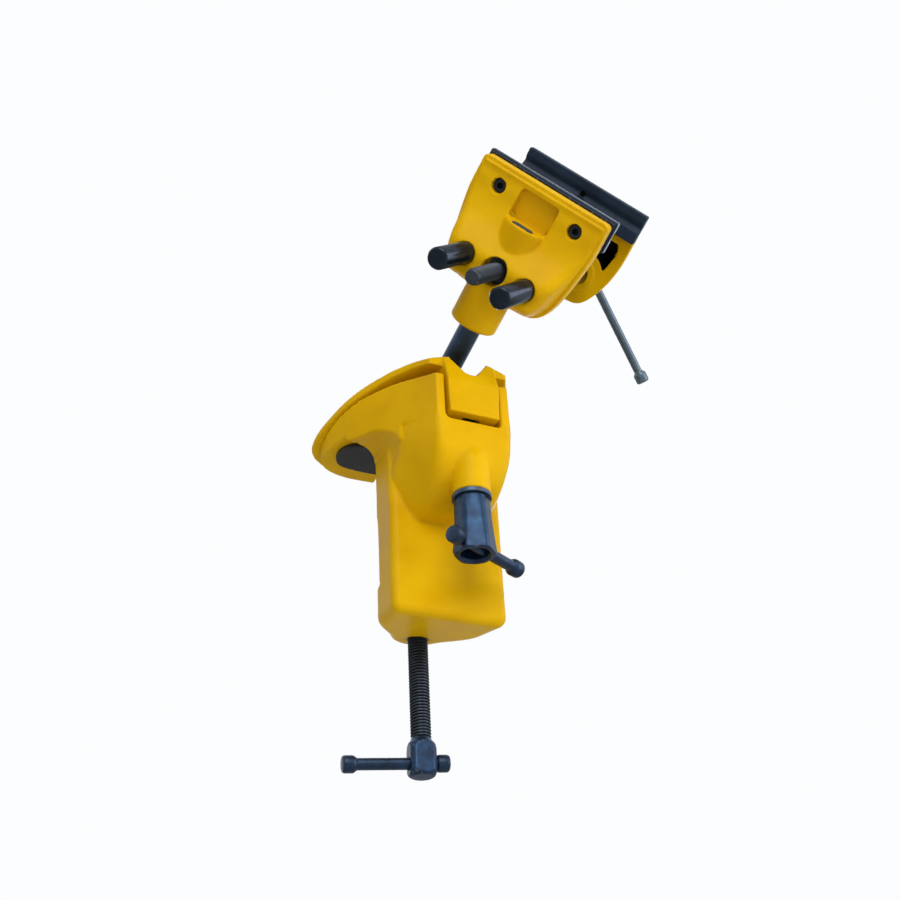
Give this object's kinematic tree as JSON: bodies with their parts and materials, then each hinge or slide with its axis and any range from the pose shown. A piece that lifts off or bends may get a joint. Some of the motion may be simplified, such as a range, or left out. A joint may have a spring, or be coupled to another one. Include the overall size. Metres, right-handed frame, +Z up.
{
  "type": "multi-angle bench vise",
  "caption": "Clamp-on bench vise: a C-clamp frame holds a ball joint under a screw-locked lid, and the ball rod carries a screw-driven pair of padded jaws on two guide rods.",
  "frame": {"origin": "on the bench edge line: where the bench top meets the bench edge, in the middle of the vise", "axes": "+X along the bench edge, +Y into the bench, +Z up; the head is stored in the pictured pose"},
  "size_m": [0.1963, 0.1647, 0.3207],
  "materials": {
    "yellow_coat": "yellow powder coat on cast aluminium",
    "black_rubber": "moulded rubber",
    "pad_rubber": "smooth dark rubber",
    "pad_steel": "blackened steel sheet",
    "dark_steel": "blackened polished steel",
    "zinc_steel": "zinc plated steel",
    "black_screw": "black oxide",
    "seat_polymer": "moulded nylon"
  },
  "bodies": {
    "frame": {"frame_casting": "yellow_coat", "seat_pad": "black_rubber", "lid_pin": "zinc_steel"},
    "lid": {"lid_casting": "yellow_coat", "stud_pin": "zinc_steel"},
    "lock_stud": {"lock_stud": "dark_steel"},
    "lock_nut": {"lock_nut": "dark_steel", "lock_washer": "dark_steel"},
    "lock_bar": {"lock_bar": "dark_steel", "lock_bar_knobs": "dark_steel"},
    "pressure_pad": {"pressure_pad": "zinc_steel"},
    "clamp_screw": {"clamp_screw": "dark_steel"},
    "clamp_bar": {"clamp_bar": "dark_steel", "clamp_bar_knobs": "dark_steel"},
    "ball_seat": {"ball_cup": "seat_polymer"},
    "ball_rod": {"ball_rod": "dark_steel"},
    "head": {"fixed_jaw": "yellow_coat", "fixed_plate": "pad_steel", "fixed_pad": "pad_rubber", "fixed_pad_screws": "black_screw", "captive_nut": "zinc_steel", "collar_screw": "black_screw"},
    "moving_jaw": {"moving_jaw": "yellow_coat", "moving_plate": "pad_steel", "moving_pad": "pad_rubber", "moving_pad_screws": "black_screw", "guide_rods": "dark_steel", "guide_pins": "zinc_steel"},
    "jaw_screw": {"jaw_screw": "dark_steel", "retaining_clip": "zinc_steel", "thrust_washer": "zinc_steel"},
    "jaw_bar": {"jaw_bar": "dark_steel", "jaw_bar_knobs": "dark_steel"}
  },
  "joints": [
    {"name": "lock_nut_turn", "type": "hinge", "parent": "frame", "child": "lock_nut", "pos_m": [0, -0.0492, -0.05], "axis": [0, 0, 1], "range_deg": [-250, 0]},
    {"name": "lid_hinge", "type": "hinge", "parent": "frame", "child": "lid", "pos_m": [0, 0.0275, 0.0064], "axis": [1, 0, 0], "range_deg": [-0.66142, 0]},
    {"name": "stud_swing", "type": "hinge", "parent": "lid", "child": "lock_stud", "pos_m": [0, -0.0492, 0.0064], "axis": [1, 0, 0], "range_deg": [0, 0.66142]},
    {"name": "lock_bar_slide", "type": "slide", "parent": "lock_nut", "child": "lock_bar", "axis": [0.8902, 0.4555, 0], "range_m": [-0.01, 0]},
    {"name": "pressure_pad_lift", "type": "slide", "parent": "frame", "child": "pressure_pad", "axis": [0, 0, 1], "range_m": [-0.018, 0.041]},
    {"name": "clamp_screw_turn", "type": "hinge", "parent": "pressure_pad", "child": "clamp_screw", "pos_m": [0, 0.0192, -0.0455], "axis": [0, 0, 1], "range_deg": [-4324, 9844]},
    {"name": "clamp_bar_slide", "type": "slide", "parent": "clamp_screw", "child": "clamp_bar", "axis": [-0.9864, 0.1562, -0.0506], "range_m": [-0.0244, 0]},
    {"name": "ball_pan", "type": "hinge", "parent": "frame", "child": "ball_seat", "pos_m": [0, -0.0117, 0.0306], "axis": [0, 0, 1], "range_deg": [-20, 6]},
    {"name": "ball_tilt", "type": "hinge", "parent": "ball_seat", "child": "ball_rod", "pos_m": [0, -0.0117, 0.0306], "axis": [0.9919, 0.1271, 0], "range_deg": [-82, 21]},
    {"name": "head_spin", "type": "hinge", "parent": "ball_rod", "child": "head", "pos_m": [0, -0.0117, 0.0306], "axis": [0.1139, -0.8892, 0.4431], "continuous": true},
    {"name": "moving_jaw_slide", "type": "slide", "parent": "head", "child": "moving_jaw", "axis": [0.638, 0.4073, 0.6535], "range_m": [-0.0529, 0.016]},
    {"name": "jaw_screw_turn", "type": "hinge", "parent": "moving_jaw", "child": "jaw_screw", "pos_m": [0.0726, -0.0397, 0.1302], "axis": [0.638, 0.4073, 0.6535], "range_deg": [-9528, 2886]},
    {"name": "jaw_bar_slide", "type": "slide", "parent": "jaw_screw", "child": "jaw_bar", "axis": [0.5846, 0.2961, -0.7553], "range_m": [-0.073, 0]}
  ],
  "couplings": [
    {"joint": "lid_hinge", "follows": "lock_nut_turn", "ratio": 0.0025938},
    {"joint": "stud_swing", "follows": "lock_nut_turn", "ratio": -0.0025938},
    {"joint": "clamp_screw_turn", "follows": "pressure_pad_lift", "rad_per_m": 4188.8},
    {"joint": "jaw_screw_turn", "follows": "moving_jaw_slide", "rad_per_m": 3141.6}
  ]
}
